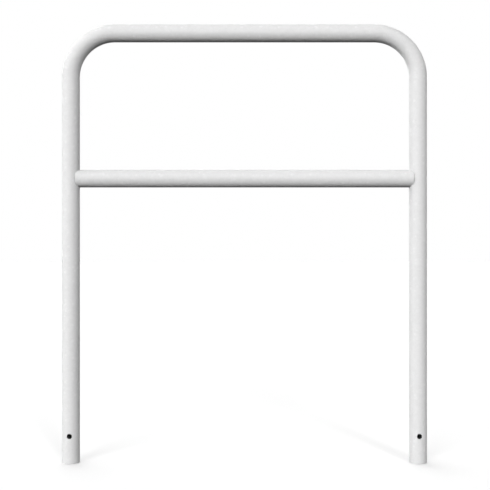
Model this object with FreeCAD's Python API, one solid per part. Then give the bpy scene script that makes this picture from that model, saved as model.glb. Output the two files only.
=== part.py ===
# Hoop barrier, in millimetres: one tube bent to a hoop, with a rail of the same tube welded between its legs.
# +Z is up, +X runs along the rail and -Y is the front. The origin is midway between the legs' bottom ends.
import FreeCAD, Part
import math
import os

# Driving dimensions
overall_width = 1000.0        # over the outsides of the legs
overall_height = 1200.0       # from the bottom ends to the top of the hoop
tube_diameter = 48.3          # hoop and rail are the same tube
tube_wall = 2.6
bend_radius = 120.0           # to the tube's centreline
rail_opening = 350.0          # clear height between the rail and the top of the hoop
saddle_reach = 9.0            # how far the rail's ends reach past the inner sides of the legs
anchor_hole_diameter = 14.0   # in the front wall of each foot
anchor_hole_height = 75.0     # above the bottom ends
vent_hole_diameter = 12.0     # in each leg's wall, inside the end of the rail
weld_size = 1.6               # thickness of the weld over both tubes
weld_roundness = 0.8          # share of the weld's thickness that its crest is rounded by
end_chamfer = 0.5             # broken outer edge of each sawn end

# Sizes that follow from them
tube_radius = tube_diameter / 2
bore_radius = tube_radius - tube_wall
leg_x = overall_width / 2 - tube_radius
top_z = overall_height - tube_radius
bend_x = leg_x - bend_radius
bend_z = top_z - bend_radius
rail_z = top_z - tube_diameter - rail_opening
nose_x = leg_x - tube_radius + saddle_reach
weld_crest = tube_radius + weld_size
weld_root = bore_radius - weld_size
wall_middle = tube_radius - tube_wall / 2
same_place = 1e-3             # two points nearer than this are one

Vector = FreeCAD.Vector
sides = (-1, 1)


def rod(radius, start, end):
    """A solid round bar between two points."""
    run = end - start
    return Part.makeCylinder(radius, run.Length, start, run)


def pipe(outer, inner, start, end):
    """A round tube between two points."""
    return rod(outer, start, end).cut(rod(inner, start, end))


def leg_rod(side, radius):
    """A solid bar along one leg's axis."""
    return rod(radius, Vector(side * leg_x, 0, 0), Vector(side * leg_x, 0, bend_z))


def centreline():
    """The hoop's centreline: up the left leg, across the top and down the right leg."""
    inset = bend_radius * (1 - math.sqrt(0.5))
    left = [
        Vector(-leg_x, 0, 0),
        Vector(-leg_x, 0, bend_z),
        Vector(-leg_x + inset, 0, top_z - inset),
        Vector(-bend_x, 0, top_z),
    ]
    right = [Vector(-point.x, 0, point.z) for point in left]
    runs = [
        Part.LineSegment(left[0], left[1]),
        Part.Arc(left[1], left[2], left[3]),
        Part.LineSegment(left[3], right[3]),
        Part.Arc(right[3], right[2], right[1]),
        Part.LineSegment(right[1], right[0]),
    ]
    return Part.Wire([run.toShape() for run in runs])


def disc(radius, centre):
    """A flat round face."""
    return Part.Face(Part.Wire(Part.makeCircle(radius, centre)))


def anchor_hole(side):
    """The drill's path through the front wall of one foot."""
    axis = Vector(side * leg_x, 0, anchor_hole_height)
    front = Vector(side * leg_x, -tube_diameter, anchor_hole_height)
    return rod(anchor_hole_diameter / 2, axis, front)


def vent_hole(side):
    """The drill's path through one leg's inner wall, on the rail's axis."""
    return rod(vent_hole_diameter / 2, Vector(side * leg_x, 0, rail_z), Vector(side * bend_x, 0, rail_z))


def outer_end_edges(tube):
    """The outer round edges of the two sawn ends."""
    at_foot = [edge for edge in tube.Edges if abs(edge.BoundBox.ZMax) < same_place]
    return [edge for edge in at_foot if edge.BoundBox.YLength > 2 * bore_radius + same_place]


def make_hoop():
    """The bent tube with its sawn ends, anchor holes and vent holes."""
    foot = Vector(-leg_x, 0, 0)
    section = disc(tube_radius, foot).cut(disc(bore_radius, foot)).Faces[0]
    tube = centreline().makePipe(section)
    tube = tube.makeChamfer(end_chamfer, outer_end_edges(tube))
    holes = [anchor_hole(side) for side in sides] + [vent_hole(side) for side in sides]
    return tube.cut(holes).Solids[0]


def make_rail():
    """The straight tube, saddle-cut to both legs with the saddles' thin tips trimmed flat."""
    tube = pipe(tube_radius, bore_radius, Vector(-nose_x, 0, rail_z), Vector(nose_x, 0, rail_z))
    return tube.cut([leg_rod(side, tube_radius) for side in sides]).Solids[0]


def crest_edges(band):
    """The outer edges of a weld band: on its outermost round over the left leg, outside the rail."""
    edges = []
    for edge in band.Edges:
        middle = edge.valueAt((edge.FirstParameter + edge.LastParameter) / 2)
        from_leg = math.hypot(middle.x + leg_x, middle.y)
        from_rail = math.hypot(middle.y, middle.z - rail_z)
        if abs(from_leg - weld_crest) < same_place and from_rail > tube_radius:
            edges.append(edge)
    return edges


def make_left_weld(rail):
    """The weld round the rail's left end: all that is near both tubes, with a rounded crest and filled noses."""
    start = Vector(-nose_x - weld_size, 0, rail_z)
    sleeve = pipe(weld_crest, weld_root, start, Vector(0, 0, rail_z))
    band = leg_rod(-1, weld_crest).common(sleeve).Solids[0]
    band = band.makeFillet(weld_size * weld_roundness, crest_edges(band))
    nose_fill = Part.makeCone(wall_middle - weld_size, wall_middle, weld_size, start, Vector(1, 0, 0))
    return band.fuse(nose_fill).cut([leg_rod(-1, tube_radius), rail]).Solids[0]


hoop_tube = make_hoop()
cross_rail = make_rail()
left_weld = make_left_weld(cross_rail)
right_weld = left_weld.mirror(Vector(0, 0, 0), Vector(1, 0, 0))

nodes = {
    "hoop_tube": hoop_tube,
    "cross_rail": cross_rail,
    "left_weld": left_weld,
    "right_weld": right_weld,
}
os.makedirs("parts", exist_ok=True)
for name, shape in nodes.items():
    shape.exportStep(f"parts/{name}.step")
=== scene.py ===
import math
import bmesh
import bpy
import numpy as np
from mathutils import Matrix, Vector


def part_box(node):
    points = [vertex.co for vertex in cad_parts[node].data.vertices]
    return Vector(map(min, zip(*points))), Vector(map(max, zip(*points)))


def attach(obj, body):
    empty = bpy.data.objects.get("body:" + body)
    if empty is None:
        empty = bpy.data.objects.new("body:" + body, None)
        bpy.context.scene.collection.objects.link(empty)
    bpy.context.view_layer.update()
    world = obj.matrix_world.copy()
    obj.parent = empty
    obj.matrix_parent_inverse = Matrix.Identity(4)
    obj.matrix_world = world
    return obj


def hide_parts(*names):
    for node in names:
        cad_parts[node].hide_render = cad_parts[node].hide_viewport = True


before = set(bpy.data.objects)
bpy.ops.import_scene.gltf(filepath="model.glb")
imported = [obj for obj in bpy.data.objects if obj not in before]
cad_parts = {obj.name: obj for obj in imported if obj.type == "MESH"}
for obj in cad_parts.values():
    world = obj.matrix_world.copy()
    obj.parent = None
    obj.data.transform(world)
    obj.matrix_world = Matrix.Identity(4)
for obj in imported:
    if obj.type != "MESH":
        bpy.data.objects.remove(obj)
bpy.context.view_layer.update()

mm = 0.001
print("frame loaded with", ", ".join(sorted(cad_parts)))


# shared mesh work

meshing = {
    "mergeGap": 0.002,       # points nearer than this become one, mm
    "sharpAngle": 40,        # faces that meet at more than this keep a sharp edge, degrees
}


# Quads between neighbouring lines of a grid that closes round its columns, as 4 corner numbers each.
def gridQuads(rows, cols, closeRows=False):
    i, j = np.meshgrid(np.arange(rows if closeRows else rows - 1), np.arange(cols), indexing="ij")
    nextI, nextJ = (i + 1) % rows, (j + 1) % cols
    return np.stack([i * cols + j, nextI * cols + j, nextI * cols + nextJ, i * cols + nextJ], axis=-1)


# One mesh object from several sheets, joined where their points fall together. A sheet is its points in mm,
# its quads, and how far each point is inside the tube: 0 on the outer wall, 1 on the inner wall.
def meshPiece(name, sheets, material, node):
    grids, faces, depths = zip(*sheets)
    starts = np.cumsum([0] + [len(grid) for grid in grids[:-1]])
    points = np.concatenate(grids) * mm
    quads = np.concatenate([face.reshape(-1, 4) + start for face, start in zip(faces, starts)])
    inside = np.concatenate(depths).astype(np.float32)
    mesh = bpy.data.meshes.new(name)
    mesh.from_pydata(points.tolist(), [], quads.tolist())
    mesh.attributes.new("inside", "FLOAT", "POINT").data.foreach_set("value", inside)
    work = bmesh.new()
    work.from_mesh(mesh)
    bmesh.ops.remove_doubles(work, verts=work.verts, dist=meshing["mergeGap"] * mm)
    bmesh.ops.recalc_face_normals(work, faces=work.faces)
    openEdges = sum(not edge.is_manifold for edge in work.edges)
    work.to_mesh(mesh)
    work.free()
    mesh.shade_smooth()
    mesh.set_sharp_from_angle(angle=math.radians(meshing["sharpAngle"]))
    mesh.materials.append(material)
    piece = bpy.data.objects.new(name, mesh)
    bpy.context.scene.collection.objects.link(piece)
    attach(piece, "root")
    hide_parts(node)
    print(name, "has", len(mesh.polygons), "faces and", openEdges, "open edges")


# Points from start to end that are no further apart than step.
def spaced(start, end, step):
    return np.linspace(start, end, max(2, math.ceil(abs(end - start) / step) + 1))


# A quarter turn as fractions: how far it has come in, 1 - cos, and how far it has still to go, 1 - sin.
def quarterTurn(steps):
    angle = np.linspace(0, math.pi / 2, steps + 1)
    return 1 - np.cos(angle), 1 - np.sin(angle)


# shader sums

class Signal:
    # one socket's value; sums on it add Math nodes
    def __init__(self, sheet, socket):
        self.sheet = sheet
        self.socket = socket

    # another output of the same node
    def other(self, output):
        return Signal(self.sheet, self.socket.node.outputs[output])

    def mathNode(self, operation, first, second):
        return self.sheet.node("ShaderNodeMath", {"operation": operation}, {0: first, 1: second})

    def __add__(self, other):
        return self.mathNode("ADD", self, other)

    def __radd__(self, other):
        return self.mathNode("ADD", other, self)

    def __sub__(self, other):
        return self.mathNode("SUBTRACT", self, other)

    def __rsub__(self, other):
        return self.mathNode("SUBTRACT", other, self)

    def __mul__(self, other):
        return self.mathNode("MULTIPLY", self, other)

    def __rmul__(self, other):
        return self.mathNode("MULTIPLY", other, self)


class NodeSheet:
    # the node tree of a material or of the world
    def __init__(self, owner):
        owner.use_nodes = True
        self.tree = owner.node_tree
        self.tree.nodes.clear()

    # adds a node: its settings first, then its sockets' values or links; gives back one output, if any
    def node(self, kind, settings=None, sockets=None, output=0):
        made = self.tree.nodes.new(kind)
        for key, value in (settings or {}).items():
            setattr(made, key, value)
        for key, value in (sockets or {}).items():
            if isinstance(value, Signal):
                self.tree.links.new(value.socket, made.inputs[key])
            else:
                made.inputs[key].default_value = value
        return Signal(self, made.outputs[output]) if len(made.outputs) else None


# A grey as a colour socket takes it.
def grey(tone):
    return (tone, tone, tone, 1)


# zinc

zinc = {
    "tube": {"pale": 0.895, "dull": 0.785, "relief": 1.0},    # two tones, and how strong the bumps are
    "weld": {"pale": 0.835, "dull": 0.685, "relief": 1.3},
    "boreToneAndShade": 0.30,            # dull zinc on the tube's inner wall, darkened further as painted shade inside the tube and its holes
    "crystal": 9.0,          # size of the spangle, mm
    "raggedness": 3.0,       # how far the crystals' borders wander, mm
    "crystalShare": 0.24,    # how much the crystals differ in tone
    "brightRate": 0.3,       # share of the crystals with a pale heart, paler zinc that also stands in as a painted glint
    "brightReach": 0.65,     # radius of a bright heart, in crystals
    "brightShare": 1.6,
    "feather": 1.1,          # width of the streaks in a crystal, mm
    "featherRun": 7.0,       # and their length, mm
    "featherShare": 1.1,
    "cloud": 60.0,           # size of the soft patches, mm
    "cloudShare": 0.32,
    "skin": 9.0,             # size of the orange peel, mm
    "skinHeight": 0.55,      # mm
    "pimpleSpacing": 11.0,   # between the small lumps in the coat, mm
    "pimpleReach": 2.4,      # radius of the largest lump, mm
    "pimpleHeight": 0.30,    # mm
    "pimplePatch": 90.0,     # size of the patches that the lumps come in, mm
    "patchFade": (0.4, 0.6),    # from no lumps to all of them, in the noise that makes the patches
    "frost": 0.7,            # size of the finest grain, mm
    "frostHeight": 0.012,    # mm
    "roughness": 0.56,
    "roughnessSpread": 0.16,
    "gloss": 0.04,           # specular level, low on a matt coat
}


# Hot-dipped zinc, by place on the object. Dullness is one half, plus shares of each crystal's own tone, of
# streaks that run each crystal's own way and of soft clouds, less the pale hearts. The hearts are partly
# the zinc's own paler tone and partly painted glints. Height is an orange-peel skin plus small lumps plus a
# fine frost.
def zincFinish(name, look):
    material = bpy.data.materials.new(name)
    sheet = NodeSheet(material)
    place = sheet.node("ShaderNodeTexCoord", output="Object")

    def vectors(operation, first, second):
        return sheet.node("ShaderNodeVectorMath", {"operation": operation}, {0: first, 1: second})

    # soft noise with spots of the given size in mm
    def noise(vector, size, detail, output="Fac"):
        return sheet.node("ShaderNodeTexNoise", {"noise_dimensions": "3D"},
                          {"Vector": vector, "Scale": 1 / (size * mm), "Detail": detail}, output)

    # cells of the given size in mm
    def cells(vector, size, output):
        return sheet.node("ShaderNodeTexVoronoi", {"feature": "F1"},
                          {"Vector": vector, "Scale": 1 / (size * mm)}, output)

    # 0 at low, 1 at high, and eased between
    def smoothStep(value, low, high):
        return sheet.node("ShaderNodeMapRange", {"interpolation_type": "SMOOTHSTEP"},
                          {"Value": value, "From Min": low, "From Max": high, "To Min": 0.0, "To Max": 1.0})

    # the place, pushed about by a noise of the given size, as far as reach
    def astray(size, reach, detail):
        push = noise(place, size, detail, "Color")
        return vectors("ADD", place, vectors("MULTIPLY", push, (reach * mm,) * 3))

    # how far a value of 0 to 1 is off its middle, times a share
    def swing(value, share):
        return (value - 0.5) * share

    def mix(factor, first, second):
        return sheet.node("ShaderNodeMix", {"data_type": "RGBA"},
                          {"Factor": factor, "A": first, "B": second}, output=2)

    ragged = astray(zinc["crystal"] / 2, zinc["raggedness"], detail=3.0)
    crystal = cells(ragged, zinc["crystal"], "Color")
    tone = sheet.node("ShaderNodeSeparateColor", {}, {0: crystal}, "Red")
    lot = smoothStep(tone.other("Green"), 1 - zinc["brightRate"], 1.0)
    heart = smoothStep(crystal.other("Distance"), zinc["brightReach"], 0.0)
    turned = sheet.node("ShaderNodeVectorRotate", {"rotation_type": "EULER_XYZ"},
                        {"Vector": place, "Rotation": vectors("MULTIPLY", crystal, (2 * math.pi,) * 3)})
    drawn = vectors("MULTIPLY", turned, (1, 1, zinc["feather"] / zinc["featherRun"]))
    feather = noise(drawn, zinc["feather"], detail=2.0)
    cloud = noise(place, zinc["cloud"], detail=4.0)
    skin = noise(place, zinc["skin"], detail=1.0)
    frost = noise(place, zinc["frost"], detail=2.0)
    uneven = astray(zinc["pimpleReach"] * 2, zinc["pimpleReach"], detail=0.0)
    fromPimple = cells(uneven, zinc["pimpleSpacing"], "Distance")
    patch = smoothStep(noise(place, zinc["pimplePatch"], detail=1.0), *zinc["patchFade"])
    pimple = smoothStep(fromPimple, zinc["pimpleReach"] / zinc["pimpleSpacing"], 0.0) * patch

    # painted glint: pale crystal hearts, partly the zinc's own paler tone and partly painted sparkle
    paleHeartAndGlint = heart * lot * feather
    dull = (0.5 + swing(tone, zinc["crystalShare"]) + swing(feather, zinc["featherShare"])
            + swing(cloud, zinc["cloudShare"]) - paleHeartAndGlint * zinc["brightShare"])
    coat = mix(dull, grey(look["pale"]), grey(look["dull"]))
    inside = sheet.node("ShaderNodeAttribute", {"attribute_name": "inside"}, output="Fac")
    # the tube's inner wall takes a dark tone: dull zinc plus painted shade
    colour = mix(inside, coat, grey(zinc["boreToneAndShade"]))
    rough = zinc["roughness"] + swing(tone, zinc["roughnessSpread"]) + swing(frost, zinc["roughnessSpread"])
    height = skin * zinc["skinHeight"] + pimple * zinc["pimpleHeight"] + frost * zinc["frostHeight"]
    bump = sheet.node("ShaderNodeBump", {},
                      {"Height": height, "Strength": 1.0, "Distance": look["relief"] * mm})
    shade = sheet.node("ShaderNodeBsdfPrincipled", {},
                       {"Base Color": colour, "Roughness": rough, "Normal": bump,
                        "Metallic": 0.0, "Specular IOR Level": zinc["gloss"]})
    sheet.node("ShaderNodeOutputMaterial", {}, {"Surface": shade})
    return material


tubeZinc = zincFinish("tubeZinc", zinc["tube"])
weldZinc = zincFinish("weldZinc", zinc["weld"])
print("zinc finishes mixed")


# sizes that the frame gives, mm
hoopLow, hoopHigh = (np.array(corner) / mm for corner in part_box("hoop_tube"))
railLow, railHigh = (np.array(corner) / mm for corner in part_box("cross_rail"))
tubeRadius = max(-hoopLow[1], hoopHigh[1])    # the frame's facets fall short of the tube on one side
legX = hoopHigh[0] - tubeRadius
topZ = hoopHigh[2] - tubeRadius
railZ = (railLow[2] + railHigh[2]) / 2
noseFromLeg = legX - railHigh[0]

# lengths in mm
hoop = {
    "wall": 2.6,
    "bend": 120.0,           # to the centreline
    "around": 72,            # points round the tube, a multiple of 4
    "alongLeg": 12.0,        # longest step on the straights
    "bendSteps": 40,
    "rim": 0.6,              # rounding of the sawn ends
    "rimStep": 0.8,          # from the rounding to the next ring
    "edgeSteps": 4,          # in the rounding of ends and holes
    "holes": {               # the turn is in degrees from the leg's outer side, with the front at 90
        "anchor": {"height": 75.0, "diameter": 14.0, "turn": 90},
        "vent": {"height": railZ, "diameter": 12.0, "turn": 180},
    },
    "window": 12.0,          # half the length of the patch that a hole sits in, less than the tube's radius
    "windowSteps": 12,       # an even number
    "patchRings": (0, 0.3, 0.55, 0.75, 0.9, 1.0),    # from the patch's border to the hole's edge
    "lip": 0.4,              # rounding of a hole's edge
}
flip = np.array([-1, 1])     # from the left half to the right half, in the plane of the hoop


# Heights of the rings on a leg, even between the sawn end, the window of each hole and the bend, and the
# row on which each window starts.
def legRings():
    window, windowRows = hoop["window"], {}
    heights = np.array([hoop["rim"], hoop["rim"] + hoop["rimStep"]])
    for key, hole in hoop["holes"].items():
        low, high = hole["height"] - window, hole["height"] + window
        below = spaced(heights[-1], low, hoop["alongLeg"])[1:]
        windowRows[key] = len(heights) + len(below) - 1
        heights = np.concatenate([heights, below, np.linspace(low, high, hoop["windowSteps"] + 1)[1:]])
    above = spaced(heights[-1], topZ - hoop["bend"], hoop["alongLeg"])[1:]
    return np.concatenate([heights, above]), windowRows


# The hoop's centreline from foot to foot, as places and outward directions in the plane of the hoop:
# straight legs, quarter circles of centre + bend x (cos, sin), and a straight top.
def hoopLine(legHeights):
    bend, bendX, bendZ = hoop["bend"], legX - hoop["bend"], topZ - hoop["bend"]
    turn = np.linspace(0, math.pi / 2, hoop["bendSteps"] + 1)[1:-1]
    turnOut = np.stack([-np.cos(turn), np.sin(turn)], axis=1)
    across = spaced(-bendX, bendX, hoop["alongLeg"])
    leg = np.stack([np.full(len(legHeights), -legX), legHeights], axis=1)
    bendLine = np.array([-bendX, bendZ]) + bend * turnOut
    top = np.stack([across, np.full(len(across), topZ)], axis=1)
    legOut, topOut = np.tile([-1.0, 0], (len(leg), 1)), np.tile([0, 1.0], (len(top), 1))
    places = np.concatenate([leg, bendLine, top, bendLine[::-1] * flip, leg[::-1] * flip])
    outward = np.concatenate([legOut, turnOut, topOut, turnOut[::-1] * flip, legOut * flip])
    return places, outward


# Tube wall: each ring's circle, centre + radius x (cos x outward + sin x front).
def wallPoints(places, outward, radii, angles):
    reach = radii[:, None] * np.cos(angles)
    x = places[:, :1] + reach * outward[:, :1]
    z = places[:, 1:] + reach * outward[:, 1:]
    y = -radii[:, None] * np.sin(angles)
    return np.stack([x, y, z], axis=-1)


# Rows and columns of the points on a window's border, in turn from its first corner.
def windowBorder(rows, cols):
    row, col = np.arange(rows), np.arange(cols)
    return np.concatenate([np.stack([0 * col, col], axis=1),
                           np.stack([row, 0 * row + cols], axis=1),
                           np.stack([0 * col + rows, cols - col], axis=1),
                           np.stack([rows - row, 0 * row], axis=1)])


# Patch round a drilled hole: rings run from the patch's border on the outer wall down to the hole's rounded
# edge, through the wall and out again to the border on the inner wall. Each ring point has a place across
# the tube, a place along it, and a height over its axis, the root of radius squared less across squared.
def holePatch(centre, along, out, side, turnFromHole, alongFromHole, radius):
    outer, inner, lip = tubeRadius, tubeRadius - hoop["wall"], hoop["lip"]
    spoke = np.arctan2(alongFromHole, outer * np.sin(turnFromHole))
    share = np.array(hoop["patchRings"])[:, None]
    comeIn, toGo = (part[1:, None] for part in quarterTurn(hoop["edgeSteps"]))
    walls = []
    for wallRadius, lipWay in ((outer, -1), (inner, 1)):
        border = wallRadius * np.sin(turnFromHole), alongFromHole
        edge = (radius + lip) * np.cos(spoke), (radius + lip) * np.sin(spoke)
        across, ahead = (start + (end - start) * share for start, end in zip(border, edge))
        height = np.sqrt(wallRadius ** 2 - across ** 2)
        lipReach = radius + lip * toGo
        lipAcross, lipAhead = lipReach * np.cos(spoke), lipReach * np.sin(spoke)
        lipHeight = np.sqrt(wallRadius ** 2 - lipAcross ** 2) + lipWay * lip * comeIn
        walls.append(np.stack([np.concatenate([across, lipAcross]), np.concatenate([ahead, lipAhead]),
                               np.concatenate([height, lipHeight])], axis=-1))
    rings = np.concatenate([walls[0], walls[1][::-1]])
    points = centre + rings[..., :1] * side + rings[..., 1:2] * along + rings[..., 2:] * out
    inside = np.repeat([0, 1], len(walls[0]) * len(spoke))
    return points.reshape(-1, 3), gridQuads(*rings.shape[:2]), inside


# Hoop: a closed sheet of rings, along the outer wall from the left foot to the right one, over the sawn end
# and back along the inner wall. The window of each hole is left out of it, and a patch takes its place.
def makeHoop():
    rim, count, steps = hoop["rim"], hoop["around"], hoop["windowSteps"]
    outer, inner, angleStep = tubeRadius, tubeRadius - hoop["wall"], 2 * math.pi / count
    legHeights, windowRows = legRings()
    places, outward = hoopLine(legHeights)
    rows = len(places)

    comeIn, toGo = quarterTurn(hoop["edgeSteps"])
    endRadii = np.concatenate([outer - rim * comeIn[1:], inner + rim * comeIn[::-1][:-1]])
    endHeights = np.concatenate([rim * toGo[1:], rim * toGo[::-1][:-1]])
    rightEnd = np.stack([np.full(len(endRadii), legX), endHeights], axis=1)
    rightOut = np.tile([1.0, 0], (len(endRadii), 1))
    allPlaces = np.concatenate([places, rightEnd, places[::-1], rightEnd[::-1] * flip])
    allOut = np.concatenate([outward, rightOut, outward[::-1], rightOut * flip])
    radii = np.concatenate([np.full(rows, outer), endRadii, np.full(rows, inner), endRadii[::-1]])
    walls = wallPoints(allPlaces, allOut, radii, np.arange(count) * angleStep)
    quads = gridQuads(len(radii), count, closeRows=True)
    keep = np.ones(quads.shape[:2], dtype=bool)

    half = round(math.asin(hoop["window"] / outer) / angleStep)    # columns from a hole to its border
    border = windowBorder(steps, 2 * half)
    turnFromHole = (border[:, 1] - half) * angleStep
    patches = []
    for rightLeg in (False, True):
        for key, hole in hoop["holes"].items():
            turn = math.radians(hole["turn"])
            middle = round(turn / angleStep)
            cols = slice(middle - half, middle + half)
            first = rows - 1 - windowRows[key] - steps if rightLeg else windowRows[key]
            innerFirst = 2 * rows + len(endRadii) - 1 - first - steps
            keep[first:first + steps, cols] = False
            keep[innerFirst:innerFirst + steps, cols] = False
            centreX, centreZ = places[first + steps // 2]
            outX, runZ = (1.0, -1.0) if rightLeg else (-1.0, 1.0)    # outer side, and the rows' way
            out = np.array([math.cos(turn) * outX, -math.sin(turn), 0])
            side = np.array([-math.sin(turn) * outX, -math.cos(turn), 0])    # the way that the turn grows
            alongFromHole = (places[first + border[:, 0], 1] - centreZ) * runZ
            patches.append(holePatch(np.array([centreX, 0, centreZ]), np.array([0, 0, runZ]), out, side,
                                     turnFromHole, alongFromHole, hole["diameter"] / 2))
    inside = np.repeat((outer - radii) / hoop["wall"], count)
    sheets = [(walls.reshape(-1, 3), quads[keep], inside)] + patches
    meshPiece("hoopTube", sheets, tubeZinc, "hoop_tube")


makeHoop()

# lengths in mm
rail = {
    "noseSteps": 20,         # points round each flat nose
    "saddleSteps": 26,       # points round each saddle
    "along": 14.0,           # longest step along the tube
    "lastRings": (0.99, 0.998),    # shares of the way to an end at which the last two rings stand
    "edge": 0.3,             # rounding of the cut edges
    "edgeSteps": 3,
}


# Rail: a round wall between saddle ends. At radius r and turn a, an end stands off the leg's axis by
# the larger of the nose's distance and the root of tube radius squared less (r cos a) squared.
def makeRail():
    outer, inner, edge = tubeRadius, tubeRadius - hoop["wall"], rail["edge"]
    corner = math.asin(noseFromLeg / outer)
    nose = np.linspace(-corner, corner, rail["noseSteps"] + 1)[:-1]
    saddle = np.linspace(corner, math.pi - corner, rail["saddleSteps"] + 1)[:-1]
    turn = np.concatenate([nose, saddle, nose + math.pi, saddle + math.pi])

    def standOff(radius):
        return np.maximum(noseFromLeg, np.sqrt(np.maximum(0, outer ** 2 - (radius * np.cos(turn)) ** 2)))

    comeIn, toGo = quarterTurn(rail["edgeSteps"])
    endRadii = np.concatenate([outer - edge * comeIn, inner + edge * comeIn[::-1]])[:, None]
    endBack = np.concatenate([edge * toGo, edge * toGo[::-1]])[:, None]
    endX = legX - standOff(endRadii) - endBack
    near, nearest = rail["lastRings"]
    share = np.concatenate([[-nearest], spaced(-near, near, rail["along"] / legX), [nearest]])[:, None]
    wallX = np.concatenate([endX[0] * share, endX, endX[-1] * share[::-1], -endX[::-1]])
    outerWall, innerWall = np.full_like(share, outer), np.full_like(share, inner)
    radii = np.concatenate([outerWall, endRadii, innerWall, endRadii[::-1]])
    points = np.stack([wallX, -radii * np.cos(turn), railZ + radii * np.sin(turn)], axis=-1)
    inside = np.repeat((outer - radii) / hoop["wall"], len(turn))
    sheet = points.reshape(-1, 3), gridQuads(*points.shape[:2], closeRows=True), inside
    meshPiece("crossRail", [sheet], tubeZinc, "cross_rail")


makeRail()

# lengths in mm
weld = {
    "reach": 1.6,            # from the seam to the weld's edge on either tube
    "noseReach": 0.8,        # the same on the leg at the middle of a flat nose
    "noseFlare": 4,          # how late along a nose the reach grows, as a power
    "setBack": 1.5,          # from the rail's outer edge to the weld on a nose, less than the wall
    "hollow": 0.5,           # 0 is a flat face, 1 a deep hollow
    "root": 0.8,             # how deep the weld goes in under the seam
    "tuck": 0.15,            # share of the way to the root that the edges are sunk by
    "cornerEase": 1.2,       # rounding of the run where a saddle meets a nose
    "pitch": 1.7,            # from one ripple to the next
    "ripple": 0.2,           # height of a ripple
    "sweepBack": 0.35,       # how far a ripple's crown trails its ends, in pitches
    "perRipple": 8,          # points along a ripple
    "faceSteps": 14,         # points across the face
    "saddleSamples": 400,    # points on the seam before they are spaced evenly
    "noseSamples": 200,
}


# Blurs a closed run of points by a bell curve of the given width, in steps.
def easeRun(points, width):
    turns = np.fft.fftfreq(len(points))
    bell = np.exp(-2 * (math.pi * turns * width) ** 2)
    return np.fft.ifft(np.fft.fft(points, axis=0) * bell[:, None], axis=0).real


# The seam of rail and leg and the weld's edge on each tube, seen from the leg's axis with x towards the
# rail. Over a saddle the seam's height and its distance from the leg's axis are both radius x cos of the
# turn, so the two edges mirror each other. On a nose the seam is straight, and the weld climbs from the leg
# to the flat end.
def weldLines():
    radius, reach, noseReach = tubeRadius, weld["reach"], weld["noseReach"]
    lastTurn = math.acos(noseFromLeg / radius)
    turn = np.linspace(-lastTurn, lastTurn, weld["saddleSamples"])
    slant = np.sqrt(1 + np.sin(turn) ** 2)
    onTube = radius * np.cos(turn)
    beside = turn + reach * np.sin(turn) / (radius * slant)
    far, near, out = onTube + reach / slant, radius * np.cos(beside), -radius * np.sin(beside)
    saddle = np.stack([np.stack([onTube, -radius * np.sin(turn), onTube], axis=1),
                       np.stack([near, out, far], axis=1),
                       np.stack([far, out, near], axis=1)])

    share = np.linspace(1, -1, weld["noseSamples"])[1:-1]
    height, level = noseFromLeg * share, np.full(len(share), noseFromLeg)
    beside = lastTurn + (noseReach + (reach - noseReach) * share ** weld["noseFlare"]) / radius
    seamOut = radius * math.sin(lastTurn)
    edgeOut = np.maximum(seamOut, np.sqrt((radius - weld["setBack"]) ** 2 - height ** 2))
    nose = np.stack([np.stack([level, np.full(len(height), -seamOut), height], axis=1),
                     np.stack([radius * np.cos(beside), -radius * np.sin(beside), height], axis=1),
                     np.stack([level, -edgeOut, height], axis=1)])
    below, behind = np.array([1, 1, -1]), np.array([1, -1, -1])
    return np.concatenate([saddle, nose, saddle[:, ::-1] * below, nose * behind], axis=1)


# Weld: a hollow face between its two edges, carried along the seam, and closed under the seam at its root.
# The face is a curve from edge to edge that a third point, between the edges' middle and the seam, pulls
# in. It swells by the size of a sine, less its mean, once per pitch, and later at its crown than at its
# edges.
def makeWeld(name, node, side):
    lines = weldLines()
    closed = np.concatenate([lines, lines[:, :1]], axis=1)
    length = np.concatenate([[0], np.cumsum(np.linalg.norm(np.diff(closed[0], axis=0), axis=1))])
    count = round(length[-1] / weld["pitch"]) * weld["perRipple"]
    step = length[-1] / count
    at = np.arange(count) * step
    even = [np.stack([np.interp(at, length, axis) for axis in line.T], axis=1) for line in closed]
    seam, onLeg, onRail = (easeRun(line, weld["cornerEase"] / step) for line in even)
    middle = (onLeg + onRail) / 2
    outward = (middle - seam) / np.linalg.norm(middle - seam, axis=1)[:, None]
    pull = middle + weld["hollow"] * (seam - middle)
    root = seam - outward * weld["root"]
    onLeg, onRail = (line + weld["tuck"] * (root - line) for line in (onLeg, onRail))

    q = np.linspace(0, 1, weld["faceSteps"])[None, :, None]    # from the leg to the rail
    face = (1 - q) ** 2 * onLeg[:, None] + 2 * q * (1 - q) * pull[:, None] + q ** 2 * onRail[:, None]
    crown = np.sin(math.pi * q)
    phase = np.arange(count)[:, None, None] / weld["perRipple"] - weld["sweepBack"] * crown
    swell = weld["ripple"] * crown * (np.abs(np.sin(math.pi * phase)) - 2 / math.pi)
    points = np.concatenate([face + swell * outward[:, None], root[:, None]], axis=1)
    points = np.array([side * legX, 0, railZ]) + points * [-side, 1, 1]
    quads = gridQuads(*points.shape[:2], closeRows=True)
    sheet = points.reshape(-1, 3), quads, np.zeros(points.shape[0] * points.shape[1])
    meshPiece(name, [sheet], weldZinc, node)


makeWeld("leftWeldBead", "left_weld", -1)
makeWeld("rightWeldBead", "right_weld", 1)
print("tubes and welds made")


# floor, light and camera

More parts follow.
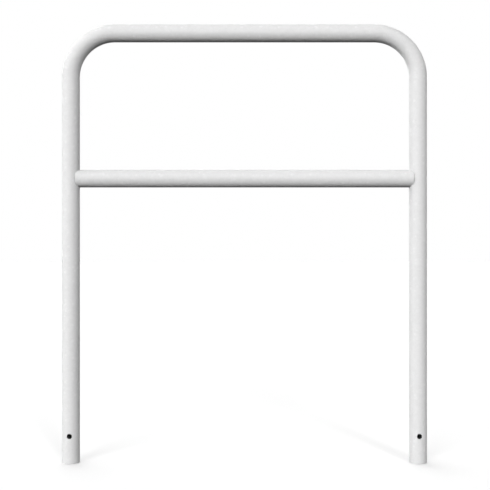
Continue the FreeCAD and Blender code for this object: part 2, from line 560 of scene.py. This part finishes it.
studio = {
    "floorReach": 30.0,      # m
    "floorDrop": 0.0004,     # keeps the floor just clear of the feet, m
    "floorTone": 0.8,        # its own colour
    "floorShown": 1.04,      # how bright the open floor is to the eye
    "sky": 0.09,             # dim light from all round
    "lamps": {
        "frontLamp": {"azimuth": 19.5, "elevation": 21, "spread": 12, "level": 0.37},
        "keyLamp": {"azimuth": -25, "elevation": 23, "spread": 30, "level": 0.49},
        "leftLamp": {"azimuth": -79, "elevation": 2.5, "spread": 50, "level": 0.65},
        "leftBackLamp": {"azimuth": -146, "elevation": 25, "spread": 70, "level": 0.59},
        "rightBackLamp": {"azimuth": 151, "elevation": 5, "spread": 70, "level": 0.32},
    },
    "discSteps": 61,         # samples across a lamp, for its light on the floor
}
white = grey(1)


# Direction towards a lamp: azimuth from the front, positive to the right, and height above the floor.
def towards(azimuth, elevation):
    a, e = math.radians(azimuth), math.radians(elevation)
    return Vector((math.sin(a) * math.cos(e), -math.cos(a) * math.cos(e), math.sin(e)))


# Lamp strength is pi x level: level 1 lights a surface that faces the lamp so that its colour renders as it
# is written. The lamps give no bounced light, which keeps the drilled holes and the seams dark.
def softLamp(name, values):
    lamp = bpy.data.lights.new(name, "SUN")
    lamp.angle = math.radians(values["spread"])
    lamp.energy = math.pi * values["level"]
    lamp.cycles.max_bounces = 0
    lamp.cycles.use_multiple_importance_sampling = False    # which would let bounced light back in
    aim = towards(values["azimuth"], values["elevation"])
    holder = bpy.data.objects.new(name, lamp)
    holder.rotation_euler = aim.to_track_quat("Z", "Y").to_euler()
    bpy.context.scene.collection.objects.link(holder)


# 1 where a surface is seen by the eye, in a reflection or through glass, 0 where it only gives light.
def seenRay(sheet):
    eye = sheet.node("ShaderNodeLightPath", output="Is Camera Ray")
    seen = eye + eye.other("Is Glossy Ray") + eye.other("Is Transmission Ray")
    return sheet.node("ShaderNodeMath", {"operation": "MINIMUM"}, {0: seen, 1: 1.0})


# White where it is seen, a plain dim sky to everything else: sky + seen x (1 - sky).
def makeSky():
    world = bpy.data.worlds.new("studioSky")
    bpy.context.scene.world = world
    sheet = NodeSheet(world)
    strength = studio["sky"] + seenRay(sheet) * (1 - studio["sky"])
    shade = sheet.node("ShaderNodeBackground", {}, {"Color": white, "Strength": strength})
    sheet.node("ShaderNodeOutputWorld", {}, {"Surface": shade})


# A lamp's light on the floor: its level x the mean height of the rays from its disc, none from below.
def floorLight(values):
    across, up = np.meshgrid(*[np.linspace(-1, 1, studio["discSteps"])] * 2)
    reach, elevation = math.tan(math.radians(values["spread"]) / 2), math.radians(values["elevation"])
    share = (across ** 2 + up ** 2 <= 1) / (1 + reach ** 2 * (across ** 2 + up ** 2)) ** 2
    height = np.maximum(0, math.sin(elevation) + up * reach * math.cos(elevation))
    return values["level"] * float((height * share).sum() / share.sum())


# Pale floor: it takes the object's shadow. Where it is seen, a glow of the brightness to show, less tone x
# light, tops it up to white.
def makeFloor():
    far, low = studio["floorReach"], -studio["floorDrop"]
    corners = [(-far, -far, low), (far, -far, low), (far, far, low), (-far, far, low)]
    mesh = bpy.data.meshes.new("studioFloor")
    mesh.from_pydata(corners, [], [(0, 1, 2, 3)])
    floor = bpy.data.objects.new("studioFloor", mesh)
    bpy.context.scene.collection.objects.link(floor)
    material = bpy.data.materials.new("paleFloor")
    sheet = NodeSheet(material)
    lit = studio["sky"] + sum(floorLight(values) for values in studio["lamps"].values())
    topUp = seenRay(sheet) * (studio["floorShown"] - studio["floorTone"] * lit)
    matt = sheet.node("ShaderNodeBsdfDiffuse", {}, {"Color": grey(studio["floorTone"])})
    glow = sheet.node("ShaderNodeEmission", {}, {"Color": white, "Strength": topUp})
    both = sheet.node("ShaderNodeAddShader", {}, {0: matt, 1: glow})
    sheet.node("ShaderNodeOutputMaterial", {}, {"Surface": both})
    mesh.materials.append(material)
    print("floor lit to", round(lit, 3))


for name, values in studio["lamps"].items():
    softLamp(name, values)
makeSky()
makeFloor()

# lengths in mm
view = {
    "distance": 2508.0,      # from the camera to the hoop's plane
    "height": 595.6,
    "aside": 1.5,
    "lens": 67.18,
    "frame": 36.0,           # width of the picture behind the lens
}
camera = bpy.data.objects.new("camera", bpy.data.cameras.new("camera"))
camera.data.sensor_width = view["frame"]
camera.data.lens = view["lens"]
camera.location = Vector((view["aside"], -view["distance"], view["height"])) * mm
camera.rotation_euler = (math.pi / 2, 0, 0)    # level, facing the back
bpy.context.scene.collection.objects.link(camera)
bpy.context.scene.camera = camera
bpy.context.scene.view_settings.view_transform = "Standard"
print("floor, lamps and camera set")
